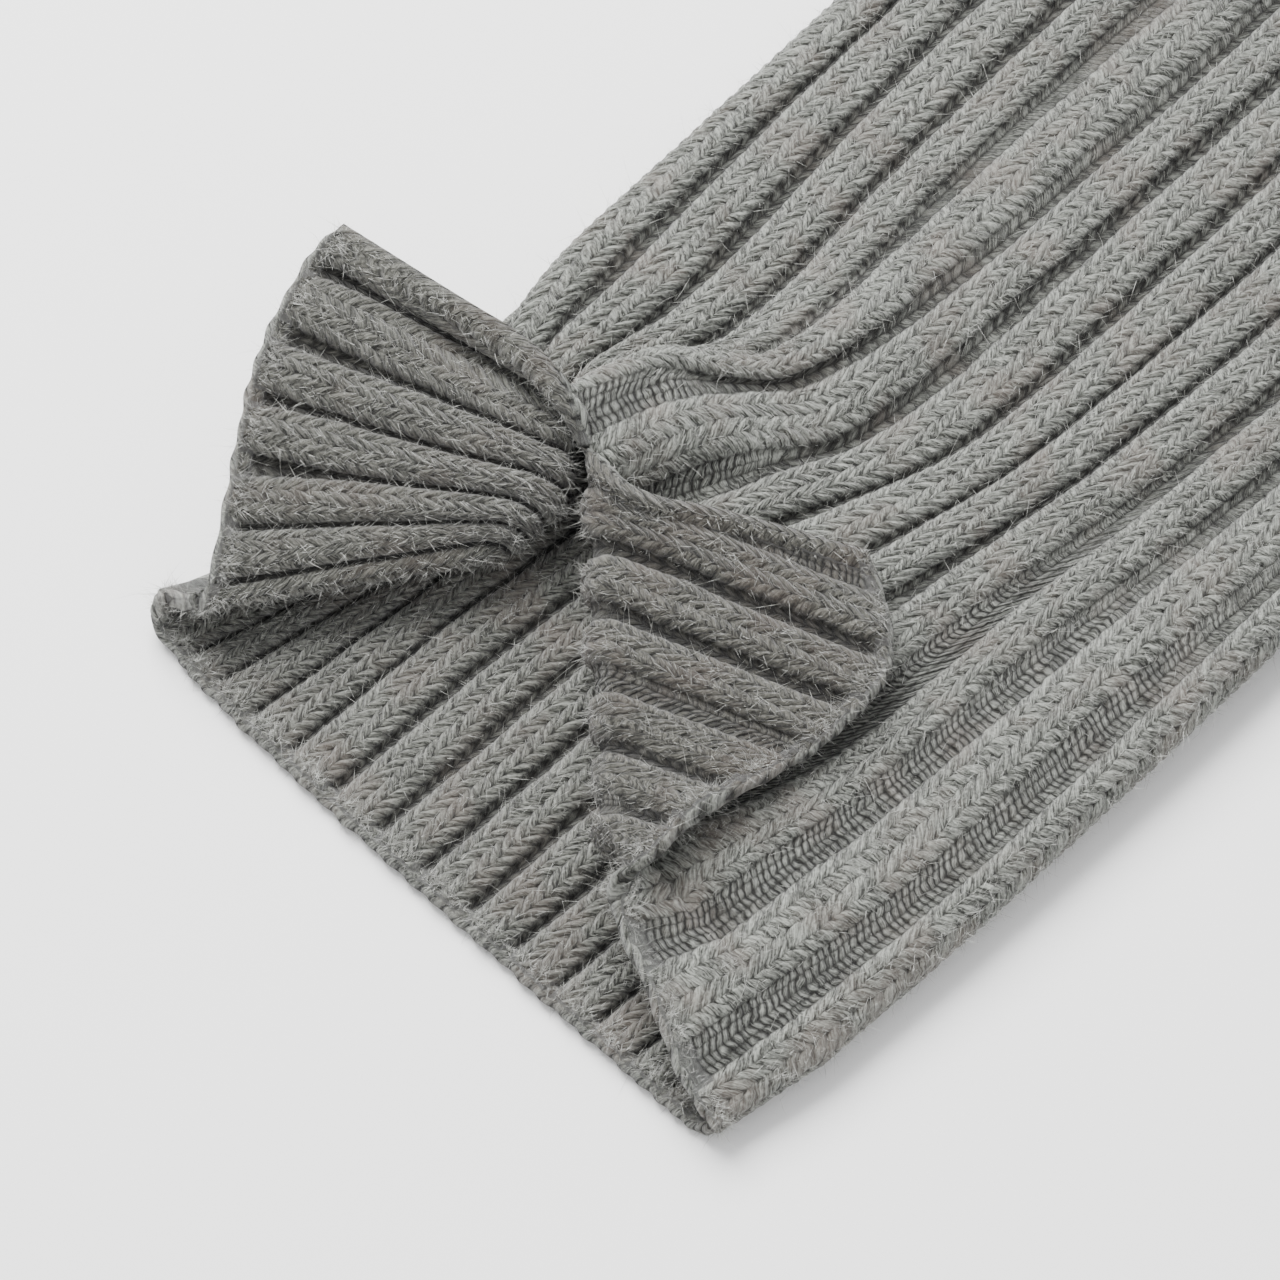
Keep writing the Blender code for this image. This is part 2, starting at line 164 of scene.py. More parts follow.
# How far across the flat tube the furrows 1 to 12 lie, at each distance along it
FURROWS = {
    95.0: (-48.8, -37.8, -28.5, -19.8, -13.5, 1.0, 10.5, 20.2, 28.3, 38.8, 50.5, 66.8),
    112.0: (-49.8, -38.3, -27.6, -17.8, -7.8, 3.3, 15.2, 23.6, 31.6, 41.2, 52.2, 67.2),
    150.0: (-50.4, -40.4, -29.7, -20.0, -5.8, 4.4, 16.2, 25.6, 34.6, 44.4, 55.0, 67.6),
    205.0: (-50.8, -40.6, -29.6, -18.8, -4.6, 5.4, 16.8, 26.6, 36.2, 46.2, 56.6, 67.8),
}
PLAIN_ROW = 150.0  # the furrows' row that the second tube has all along
RIDGE, RIDGE_RIB = 5.2, 4.6  # height and place of the ridge that runs on from the slit's end
LEFT, RIGHT = -57.5, 73.8  # the tube's two folds
RIGHT_RIB = 12.8  # where round the tube the right fold is
FOLD_RIBS = 0.6  # ribs that go round each fold to either side
BENDS = (95.0, 112.0, 150.0, 205.0, 265.0, 330.0, 400.0)  # where the plain tube's rings are
SLIT_RING, EASED_RING, LEVEL_RING = 4, 9, 11  # at the slit's end, where easing stops, on the flat tube
# Rows of the middle surface by ring, and its columns in each rib
ROWS_OPEN = (0, 0.4, 0.85, 1.3, 1.7, 2, 2.5, 3, 3.5, 4, 4.5, 5, 5.5, 6, 6.35, 6.7, 7, 7.5,
             8, 8.5, 9, 9.6, 10.2, 11, 12, 13, 14)
ROWS_PLAIN = (0, 2, 4, 7, 9, 11, 12.5, 14)
PLACES = (0.1, 0.3, 0.7, 0.9)


def through(knots, values, at, closed=None):
    """Smooth curve through values at knots, read at the places at. closed is a closed ring's length."""
    knots, values, at = np.asarray(knots, float), np.asarray(values, float), np.asarray(at, float)
    if closed:
        knots = np.concatenate([knots[-3:-1] - closed, knots, knots[1:3] + closed])
        values = np.concatenate([values[-3:-1], values, values[1:3]])
    gaps = np.diff(knots)
    slopes = np.diff(values, axis=0) / gaps[:, None]
    tangents = np.empty_like(values)
    mix = (gaps[1:] / (gaps[1:] + gaps[:-1]))[:, None]
    tangents[1:-1] = slopes[:-1] * mix + slopes[1:] * (1 - mix)
    most = 3 * np.minimum(abs(slopes[:-1]), abs(slopes[1:])) * (slopes[:-1] * slopes[1:] > 0)
    tangents[1:-1] = np.clip(tangents[1:-1], -most, most)
    tangents[0], tangents[-1] = slopes[0], slopes[-1]
    i = np.clip(np.searchsorted(knots, at, side="right") - 1, 0, len(gaps) - 1)
    u = ((at - knots[i]) / gaps[i])[:, None]
    g = gaps[i][:, None]
    return (
        values[i] * (1 + 2 * u) * (1 - u) ** 2
        + tangents[i] * g * u * (1 - u) ** 2
        + values[i + 1] * u * u * (3 - 2 * u)
        + tangents[i + 1] * g * u * u * (u - 1)
    )


def tube(rib, y, pulled=1.0):
    """Middle surface of the flat tube at these rib places and this distance along it."""
    rib = np.mod(np.asarray(rib, float) + FOLD_RIBS, RIBS) - FOLD_RIBS
    radius = (TOP - BOTTOM) / 2
    left_top, right_top, right_low = FOLD_RIBS, RIGHT_RIB - FOLD_RIBS, RIGHT_RIB + FOLD_RIBS
    table = np.array(list(FURROWS.values()))
    lines = [np.interp(y if pulled else PLAIN_ROW, list(FURROWS), column) for column in table.T]
    x = np.interp(rib, [left_top, *range(1, 13), right_top], [LEFT + radius, *lines, RIGHT - radius])
    z = np.full(len(rib), TOP)
    turn = np.pi * rib / (2 * FOLD_RIBS)
    left = rib < left_top
    x[left] = (LEFT + radius * (1 - np.cos(turn)))[left]
    z[left] = (BOTTOM + radius * (1 + np.sin(turn)))[left]
    turn = np.pi * (rib - RIGHT_RIB) / (2 * FOLD_RIBS)
    right = (rib > right_top) & (rib < right_low)
    x[right] = (RIGHT - radius * (1 - np.cos(turn)))[right]
    z[right] = (BOTTOM + radius * (1 - np.sin(turn)))[right]
    under = rib >= right_low
    x[under] = np.interp(rib[under], (right_low, RIBS - FOLD_RIBS), (RIGHT - radius, LEFT + radius))
    z[under] = BOTTOM
    over = np.clip((z - BOTTOM) / (TOP - BOTTOM), 0, 1)
    fade = pulled * np.clip((165 - y) / 60, 0, 1) ** 2 * (y > 70)
    ridge = RIDGE * np.exp(-((rib - RIDGE_RIB) ** 2)) * fade
    wave = 0.5 * np.sin(y / 47 + rib * 0.9) + 0.35 * np.sin(y / 29 - rib * 1.7)
    z = z + over * (ridge + wave)
    middle = (LEFT + RIGHT) / 2
    x = middle + (x - middle) * (1 + TAPER * np.clip((y - 100) / 200, 0, 1))
    return np.stack([x, np.full(len(x), float(y)), z], -1)


def open_mouth(rib):
    """The first tube's rings as arrays of points at these rib places, from the hem on."""
    rows = {name: column for name, column in zip(MOUTH_COLUMNS.split(), np.array(MOUTH, float).T)}
    hem, fold, out = (np.stack([rows[f"{p}_{a}"] for a in "xyz"], -1) for p in ("hem", "fold", "out"))
    roll, reach, lift = rows["roll"][:, None], rows["reach"][:, None], rows["lift"][:, None]
    up, flat = np.array([0, 0, 1.0]), np.array([1.0, 1.0, 0])

    def step(start, goal, far, rise):
        path = (goal - start - rise * up) * flat
        long = np.linalg.norm(path, axis=1, keepdims=True)
        climb = (goal - start)[:, 2:] - rise
        return start + path / long * far + up * (rise + climb * far / long)

    before = step(fold, hem, reach, roll) + lift * up
    # the slit's two edges lie apart close to its end
    before[0, 1] -= 4.5
    before[-1, 1] += 6
    turn = np.clip(32 - rows["rib"], 0, 1) * np.clip(rows["rib"] - RIBS, 0, 1)
    beyond = out + turn[:, None] * WING_TURN
    after = step(fold, beyond, np.where(roll > 0, reach, 5.0), -roll)
    arc = np.array([0.3, 0.3, 0.7])
    above, below = fold + arc * (before - fold), fold + arc * (after - fold)
    rings = [hem, (hem + before) / 2, before, above, fold, below, after, out]
    shut = [None] * SLIT_RING + [RIBS] * 4
    return [through(rows["rib"], ring, rib, closed) for ring, closed in zip(rings, shut)] + [
        tube(rib, y) for y in BENDS
    ]


def surface(rings, rows):
    """Middle surface as rows x ribs x 3: each rib line is a smooth curve through its rings."""
    rings = np.array(rings)
    grid = np.empty((len(rows),) + rings.shape[1:])
    for j in range(rings.shape[1]):
        line = rings[:, j]
        chords = np.concatenate([[0], np.cumsum(np.linalg.norm(np.diff(line, axis=0), axis=1) ** 0.75)])
        grid[:, j] = through(chords, line, np.interp(rows, np.arange(len(chords)), chords))
    return grid


def ease(grid, rib, slit_row, last_row):
    """Moves stretches of the middle surface apart where they lie too near for the wall between them."""
    part = grid[:last_row]
    m, n = part.shape[:2]
    steps = np.linalg.norm(np.diff(part, axis=0), axis=-1)
    long = np.concatenate([np.zeros((1, n)), np.cumsum(steps, 0)])
    place, along = np.tile(rib, m), (long - long[slit_row]).ravel()
    shut = np.repeat(np.arange(m) >= slit_row, n)
    apart = abs(place[:, None] - place)
    apart = np.where(shut[:, None] & shut, np.minimum(apart, RIBS - apart), apart)
    cloth = np.hypot(apart * RIB_PITCH, along[:, None] - along)
    end = np.hypot(np.minimum(place - rib[0], rib[-1] - place) * RIB_PITCH, along)
    cloth = np.minimum(cloth, end[:, None] + end)
    need = np.where(cloth > 3.5, np.minimum(0.62 * cloth, CLEAR), 0)
    free = (part[..., 2] > BOTTOM + 0.5)[..., None]
    start, moved = part.copy(), np.zeros_like(part)
    for _ in range(EASING):
        p = (start + moved).reshape(-1, 3)
        square = (p**2).sum(1)
        gap = np.sqrt(np.maximum(square[:, None] + square - 2 * p @ p.T, 1e-6))
        push = np.where(gap < need, (need - gap) / gap, 0)
        step = (push.sum(1)[:, None] * p - push @ p) / np.maximum((push > 0).sum(1), 1)[:, None]
        moved = (moved + 0.5 * step.reshape(m, n, 3)) * free
        moved[slit_row:, -1] = moved[slit_row:, 0] = (moved[slit_row:, -1] + moved[slit_row:, 0]) / 2
        wide = np.pad(moved, ((1, 1), (1, 1), (0, 0)), mode="edge")
        wide[slit_row + 1 : -1, 0] = moved[slit_row:, -2]
        wide[slit_row + 1 : -1, -1] = moved[slit_row:, 1]
        around = (wide[:-2, 1:-1] + wide[2:, 1:-1] + wide[1:-1, :-2] + wide[1:-1, 2:]) / 4
        moved = (0.85 * moved + 0.15 * around) * free
    return np.concatenate([start + moved, grid[last_row:]])


def normals(grid, slit_row):
    """Outward unit normals of the middle surface, closed round beyond the slit."""
    wide = np.concatenate([grid[:, -2:-1], grid, grid[:, 1:2]], axis=1)
    wide[:slit_row, 0] = 2 * grid[:slit_row, 0] - grid[:slit_row, 1]
    wide[:slit_row, -1] = 2 * grid[:slit_row, -1] - grid[:slit_row, -2]
    n = np.cross(wide[:, 2:] - wide[:, :-2], np.gradient(grid, axis=0))
    return n / np.maximum(np.linalg.norm(n, axis=-1, keepdims=True), 1e-9)


def room(grid, out):
    """Radius of the tightest bend towards the outer side at each point, in either direction."""
    bend = np.zeros(grid.shape[:2])
    for axis in (0, 1):
        g = np.moveaxis(grid, axis, 0)
        edge = np.diff(g, axis=0)
        long = np.linalg.norm(edge, axis=-1, keepdims=True)
        turn = np.diff(edge / long, axis=0) * 2 / (long[1:] + long[:-1])
        bent = np.zeros(g.shape[:2])
        bent[1:-1] = (turn * np.moveaxis(out, axis, 0)[1:-1]).sum(-1)
        bend = np.maximum(bend, np.moveaxis(bent, 0, axis))
    wide = np.pad(bend, 1, mode="edge")
    m, n = bend.shape
    around = [wide[i : i + m, j : j + n] for i in range(3) for j in range(3)]
    return 1 / np.maximum(np.max(around, axis=0), 0.01)


# The cloth at stitch scale. A course is one round of stitches and a wale one column of them. Each
# rib is two wales of plain stitches, whose V legs lie over two sunken purl wales.
COURSE = 2.7  # height of a course
LEVEL_COURSE, END_COURSE = 76, 148  # courses at the level ring and at the far end
LEAN = 1.3  # courses that a stitch's leg rises from the V's point to its top
RIB_SHARE, RIB_REST, RIB_MOST = 0.05, 3.7, 0.45  # a rib's half width by the pitch, in millimetres
BAND_MOST = 7  # widest band of purl between two ribs
LOOSE_BAND, LOOSE_STEP = 2.6, 3  # bands of purl over this width stand out, in full this much wider
HEM_ROPE, SLIT_ROPE = 1.2, 2.3  # radii of the chains of stitches along the hem and the slit
HEM_AT, HEM_HALF, HEM_STRAND = 0.4, 1.6, 1.5  # the hem chain's middle, half width and strand
HEM_REACH = 1.5  # how far the hem's roll stands past the first course
SELVEDGE = 1.9  # width over which the slit's bare edges round off
# On the first tube's inner side alone, and all along it, each of these ribs is drawn as two. Real rib
# has the same ribs on both sides.
SPLIT_RIBS = (9, 10, 28)
INNER_PAINTED_SHADE, FLAP_PAINTED_SHADE, WING_PAINTED_SHADE = 0.45, 0.55, 0.35  # how much painted shade the inner side's yarn gets, with more on the raised flap and wing


def drift(place, course, seed, cells):
    """Smooth random field from -1 to 1, with this many cells round the tube, so that it closes."""
    table = np.random.default_rng(seed).uniform(-1, 1, (cells, 128))
    x, y = np.broadcast_arrays(place * cells / RIBS, course)
    i, j = np.floor(x).astype(int), np.floor(y).astype(int)
    u, v = x - i, y - j
    u, v = u * u * (3 - 2 * u), v * v * (3 - 2 * v)
    a, b, c, d = (table[(i + k) % cells, (j + l) % 128] for k, l in ((0, 0), (1, 0), (0, 1), (1, 1)))
    return (a * (1 - u) + b * u) * (1 - v) + (c * (1 - u) + d * u) * v


def rib_knit(place, more, course, pitch, seed):
    """Relief of 2x2 rib in mm, with the knit's own place, course and pitch for the material.

    more is how many split ribs come before each place.
    """
    place = place + more + 0.2 * drift(place, course * 0.4, seed, 63) / pitch
    course = course + 0.16 * drift(place, course * 0.5, seed + 1, 56)
    middle = (np.mod(place, 1) - 0.5) * pitch
    half = np.minimum(RIB_SHARE * pitch + RIB_REST, RIB_MOST * pitch)
    half = np.maximum(half, (pitch - BAND_MOST) / 2)
    off = abs(middle) / half
    q = np.clip(abs(2 * off - 1), 0, 1)  # 0 along the wale's middle, 1 at its borders
    leg = 0.5 - 0.5 * np.cos(2 * np.pi * (course - LEAN * q))
    leg = leg * (1 - 0.6 * abs(2 * q - 1) ** 4)
    body = 0.3 + 1.75 * np.sqrt(np.clip(1 - (off / 1.03) ** 2, 0, 1))
    body = body - 0.22 * np.exp(-((off / 0.12) ** 2))  # the groove between the rib's two wales
    plain = body + 0.5 * leg
    band = np.maximum(pitch - 2 * half, 0.5)
    into = np.clip((abs(middle) - half) / (band / 2), 0, 1)
    wide = np.clip((band - LOOSE_BAND) / LOOSE_STEP, 0, 1)
    bar = 0.5 - 0.5 * np.cos(2 * np.pi * (course + 0.5 * into))
    purl = 0.05 + 0.55 * wide * (1 - 0.5 * abs(2 * into - 1) ** 2) + (0.2 + 0.1 * wide) * bar
    share = np.clip((half + 0.3 - abs(middle)) / 0.6, 0, 1)
    share = share * share * (3 - 2 * share)
    return plain * share + purl * (1 - share), np.stack([place, course, pitch], -1)


def at_stitches(grid, caps, rib, rows, place, courses):
    """The middle surface and its room at each course and place, by length along the cloth."""
    slit_row, level_row = rows.index(SLIT_RING), rows.index(LEVEL_RING)
    lines = np.stack([through(rib, row, place, RIBS if i >= slit_row else None)
                      for i, row in enumerate(grid)])
    caps = np.stack([np.stack([np.interp(place, rib, row[:, k]) for k in (0, 1)], -1) for row in caps])
    middle = np.empty((len(courses), len(place), 3))
    limit = np.empty((len(courses), len(place), 2))
    near_slit = np.exp(-np.minimum(place - SLIT, SLIT + RIBS - place))
    for j in range(len(place)):
        line = lines[:, j]
        chords = np.concatenate([[0], np.cumsum(np.linalg.norm(np.diff(line, axis=0), axis=1))])
        dense = np.linspace(0, chords[-1], 1600)
        points = through(chords, line, dense)
        arc = np.concatenate([[0], np.cumsum(np.linalg.norm(np.diff(points, axis=0), axis=1))])
        at = np.interp(chords, dense, arc)
        level = at[level_row]
        even = (1 - near_slit[j]) * level * SLIT_COURSES / LEVEL_COURSE
        slit = near_slit[j] * at[slit_row] + even
        marks = (0, SLIT_COURSES, LEVEL_COURSE, END_COURSE)
        want = np.interp(courses, marks, (0, slit, level, at[-1]))
        middle[:, j] = np.stack([np.interp(want, arc, points[:, k]) for k in range(3)], -1)
        limit[:, j] = np.stack([np.interp(want, at, caps[:, j, k]) for k in (0, 1)], -1)
    return middle, limit


def rib_pitch(middle, place, per_rib, courses):
    """Width of a rib with its furrow at each point, taken over one rib, even across the closed slit."""
    step = np.linalg.norm(np.diff(middle, axis=1), axis=-1)
    step = np.concatenate([step, step[:, -1:]], 1) * per_rib
    kernel = np.ones(per_rib + 1) / (per_rib + 1)
    padded = np.pad(step, ((0, 0), (per_rib // 2, per_rib // 2)), mode="edge")
    pitch = np.stack([np.convolve(row, kernel, "valid") for row in padded])
    seam = np.clip(courses[:, None] - SLIT_COURSES, 0, 1) * 0.5 * (pitch[:, -1:] - pitch[:, :1])
    ramp = np.clip(1 - np.minimum(place - SLIT, SLIT + RIBS - place) / 1.5, 0, 1)
    return pitch + seam * ramp * np.where(place < OPPOSITE, 1, -1)


def chains(place, course, edge, free):
    """Height, strand and place across the strand of the chains along the hem and the bare slit."""
    along = course * COURSE
    hem_q, slit_q = abs(along - HEM_AT) / HEM_STRAND, abs(edge - SLIT_ROPE) / SLIT_ROPE
    hem_strand, slit_strand = 4 * place + 0.1 * along, course
    hem = HEM_ROPE * np.sqrt(np.clip(1 - ((along - HEM_AT) / HEM_HALF) ** 2, 0, 1))
    round_slit = np.sqrt(np.clip(1 - ((edge - SLIT_ROPE) / (SLIT_ROPE + 0.1)) ** 2, 0, 1))
    slit = SLIT_ROPE * round_slit * 0.9 * free
    hem = hem * np.clip(edge / 1.5, 0.3, 1)
    ropes = np.maximum(hem * (1 + 0.2 * np.cos(2 * np.pi * (hem_strand - hem_q))),
                       slit * (1 + 0.18 * np.cos(2 * np.pi * (slit_strand - slit_q))))
    strand, rope_q = np.where(slit > hem, (slit_strand, slit_q), (hem_strand, hem_q))
    return ropes, strand, rope_q


def knit_cloth(mouth, rows, per_rib, courses, shift):
    """Both faces of a leg warmer at stitch scale, as arrays of courses x columns."""
    rib = np.concatenate([k + np.array(PLACES) for k in range(5, 34)])
    rib = rib[(rib > SLIT + 0.04) & (rib < SLIT + RIBS - 0.04)]
    rib = np.concatenate([[SLIT], rib, [SLIT + RIBS]])
    grid = surface(mouth(rib), rows)
    slit_row = rows.index(SLIT_RING)
    grid[slit_row:, -1] = grid[slit_row:, 0]
    if mouth is open_mouth:
        grid = ease(grid, rib, slit_row, rows.index(EASED_RING) + 1)
    out = normals(grid, slit_row)
    caps = np.stack([np.clip(0.4 * room(grid, side), 0.5, 2.6) for side in (out, -out)], -1)
    place = SLIT + np.arange(RIBS * per_rib + 1) / per_rib
    middle, limit = at_stitches(grid, caps, rib, rows, place, courses)
    slit_index = int(np.searchsorted(courses, SLIT_COURSES))
    middle[slit_index:, -1] = middle[slit_index:, 0]
    out = normals(middle, slit_index)
    out[slit_index:, 0] = out[slit_index:, -1] = (out[slit_index:, 0] + out[slit_index:, -1]) / 2
    for _ in range(6):  # takes the last facets out of the normals
        soft = out.copy()
        soft[1:-1, 1:-1] += out[:-2, 1:-1] + out[2:, 1:-1] + out[1:-1, :-2] + out[1:-1, 2:]
        out = soft / np.linalg.norm(soft, axis=-1, keepdims=True)
    pitch = rib_pitch(middle, place, per_rib, courses)
    place2, course2 = np.broadcast_arrays(place[None, :], courses[:, None])
    # the underside is pressed flat where it rests
    rest = np.clip((BOTTOM + 1.6 - middle[..., 2]) / 1.6, 0, 1)
    rest = np.where(((place > RIGHT_RIB - 0.1) & (place < RIBS + 0.1))[None, :], rest, 0)
    edge = np.minimum(place - SLIT, SLIT + RIBS - place)[None, :] * pitch
    free = 1 - np.clip(course2 - SLIT_COURSES + 1, 0, 1)  # the slit's edges, up to the slit's end
    inset = np.sqrt(1 - (1 - np.clip(edge / SELVEDGE, 0, 1)) ** 2)
    round_off = 1 - free * 0.8 * (1 - inset)
    ropes, strand, rope_q = chains(place2, course2, edge, free)
    origin = np.array([shift[0] - CENTRE[0], shift[1] - CENTRE[1], 0])
    faces = {}
    for side, name in enumerate(("outer", "inner")):
        more, share = np.zeros(place2.shape), 1
        if name == "inner" and mouth is open_mouth:
            for first in SPLIT_RIBS:
                more += np.clip(place2 - first, 0, 1)
                share = share + (place2 > first) * (place2 < first + 1)
        # the inner side's ribs lie behind the outer side's furrows
        height, knit = rib_knit(place2 + 0.5 * side, more, course2, pitch / share, 11 + 10 * side)
        height = height * np.minimum(1, limit[..., side] / 2.4) * round_off
        rope = np.minimum(ropes, 0.35 + limit[..., side])
        covered = np.clip((rope - height) / 0.5 + 0.5, 0, 1) * (rope > 0.2)
        height = np.maximum(height, rope)
        if name == "outer":
            height = height * (1 - rest) + np.minimum(BOTTOM, height + 0.2) * rest
            points = middle + out * height[..., None]
        else:
            points = middle - out * height[..., None]
        points[..., 2] = np.maximum(points[..., 2], 0)
        faces[name] = (points + origin) * MM
        faces[name + "_knit"] = knit
        faces[name + "_rope"] = np.stack([covered, strand, np.minimum(rope_q, 1)], -1)
        # painted shade: the inner side's yarn is dimmed, and more where it stands up, since the light
        # alone leaves it too pale
        raised = np.clip((middle[..., 2] - 6) / 5, 0, 1) if side else 0 * edge
        faces[name + "_dark"] = INNER_PAINTED_SHADE * side + raised * np.where(
            place2 < OPPOSITE, FLAP_PAINTED_SHADE, WING_PAINTED_SHADE)
    faces["out"], faces["place"], faces["courses"] = out, place, courses
    ends = middle[0] - middle[1]
    faces["past"] = ends / np.linalg.norm(ends, axis=-1, keepdims=True)
    faces["middle"] = (middle + origin) * MM
    return faces


HEM_TURN = np.radians((155, 125, 90, 55, 25))  # the hem's rope, from its inner side round to its outer
HEM_PAINTED_SHADE = 0.3  # how much painted shade its yarn gets


def close_panel(bm, width, height, middle_row, courses, inner_rows, outer_rows):
    """Closes a panel's grid along its two furrows, course by course, and at the far end."""
    verts = bm.verts
    for column in (0, width - 1):
        a = [(0, middle_row)] + [(0.01, middle_row + 1), (0.02, middle_row + 2)]
        a += [(courses[r] + 0.03, middle_row + 3 + i) for i, r in enumerate(outer_rows)]
        b = [(0, middle_row)] + [(0.01, middle_row - 1), (0.02, middle_row - 2)]
        b += [(courses[r] + 0.03, middle_row - 3 - i) for i, r in enumerate(inner_rows[::-1])]
        i = j = 0
        while i < len(a) - 1 or j < len(b) - 1:
            step_a = j == len(b) - 1 or (i < len(a) - 1 and a[i + 1][0] <= b[j + 1][0])
            ring = [a[i][1], a[i + 1][1] if step_a else b[j + 1][1], b[j][1]]
            i, j = (i + 1, j) if step_a else (i, j + 1)
            if len(set(ring)) == 3:
                bm.faces.new([verts[v * width + column] for v in ring])
    far = (height - 1) * width
    for u in range(width - 1):
        bm.faces.new([verts[far + u], verts[far + u + 1], verts[u + 1], verts[u]])


def knit_panel(name, cloth, first, last, inner_rows, outer_rows, material):
    """One closed panel between two furrows: along the inner face to the hem, round it and back."""
    columns = slice(first, last + 1)
    place = cloth["place"][columns]
    courses = cloth["courses"]
    outer, inner = cloth["outer"][:, columns], cloth["inner"][:, columns]
    start = cloth["middle"][0, columns]
    past, out = cloth["past"][columns], cloth["out"][0, columns]
    uneven = 0.14 * np.cos(4 * np.pi * place) + 0.2 * drift(place, 0.5, 31, 70)
    from_slit = np.minimum(place - SLIT, SLIT + RIBS - place)
    reach = MM * HEM_REACH * (0.85 + uneven) * np.clip(from_slit * 5, 0.3, 1)
    turn = HEM_TURN[:, None, None]
    roll = start + np.sin(turn) * reach[:, None] * past + abs(np.cos(turn)) * (
        np.where(np.cos(turn) > 0, outer[0], inner[0]) - start)
    roll[..., 2] = np.maximum(roll[..., 2], 0)
    turns, width = len(HEM_TURN), len(place)
    strip = np.concatenate([inner[inner_rows], roll, outer[outer_rows]])
    height = len(strip)
    slit_inner, slit_outer = (
        int((courses[rows] < SLIT_COURSES).sum()) for rows in (inner_rows, outer_rows))
    facing = np.concatenate([
        -normals(cloth["inner"][inner_rows][::-1], slit_inner)[::-1, columns],
        np.sin(turn) * past + np.cos(turn) * out,
        normals(cloth["outer"][outer_rows], slit_outer)[:, columns],
    ])
    facing /= np.linalg.norm(facing, axis=-1, keepdims=True)
    knit = np.concatenate([
        cloth["inner_knit"][inner_rows][:, columns],
        np.broadcast_to(cloth["outer_knit"][0, columns], (turns, width, 3)),
        cloth["outer_knit"][outer_rows][:, columns],
    ])
    knit[..., 0] -= RIBS * (place[0] > RIBS - 0.01)
    roped = np.stack(np.broadcast_arrays(1.0, 4 * place, 0.45 + 0.55 * np.sin(turn[..., 0])), -1)
    rope = np.concatenate([cloth["inner_rope"][inner_rows][:, columns], roped,
                           cloth["outer_rope"][outer_rows][:, columns]])
    # the painted shade of each row, the hem's rope included
    dark = np.concatenate([cloth["inner_dark"][inner_rows][:, columns],
                           np.full((turns, width), HEM_PAINTED_SHADE),
                           cloth["outer_dark"][outer_rows][:, columns]])
    bm = bmesh.new()
    bmesh.ops.create_grid(bm, x_segments=width - 1, y_segments=height - 1, size=1)
    bm.verts.ensure_lookup_table()
    middle_row = len(inner_rows) + turns // 2
    close_panel(bm, width, height, middle_row, courses, inner_rows, outer_rows)
    for vert, point in zip(bm.verts, strip.reshape(-1, 3).tolist()):
        vert.co = point
    bmesh.ops.recalc_face_normals(bm, faces=bm.faces)
    ways = map(Vector, facing.reshape(-1, 3))
    if sum(vert.normal.dot(way) for vert, way in zip(bm.verts, ways)) < 0:
        bmesh.ops.reverse_faces(bm, faces=bm.faces)
    for face in bm.faces:
        face.smooth = True
    mesh = bpy.data.meshes.new(name)
    bm.to_mesh(mesh)
    bm.free()
    mesh.normals_split_custom_set_from_vertices(facing.reshape(-1, 3).tolist())
    for label, values in (("knit", knit), ("rope", rope)):
        attribute = mesh.attributes.new(label, "FLOAT_VECTOR", "POINT")
        attribute.data.foreach_set("vector", values.reshape(-1).astype(np.float32))
    attribute = mesh.attributes.new("painted_shade", "FLOAT", "POINT")
    attribute.data.foreach_set("value", dark.reshape(-1).astype(np.float32))
    mesh.materials.append(material)
    piece = bpy.data.objects.new(name, mesh)
    bpy.context.collection.objects.link(piece)
    return piece


# The yarn: soft-spun grey melange wool, light and dark fibres mixed before spinning. Matt and
# fuzzy, so its sheen is a pale haze. Its fibres run along each leg of a stitch with a slight twist.
def mix_colour(tree, factor, a, b, blend="MIX"):
    """A colour mix node's output. Its colour sockets are the seventh and eighth."""
    links = [(0, factor), (6, a), (7, b)]
    return add(tree, "ShaderNodeMix", links, data_type="RGBA", blend_type=blend).outputs[2]


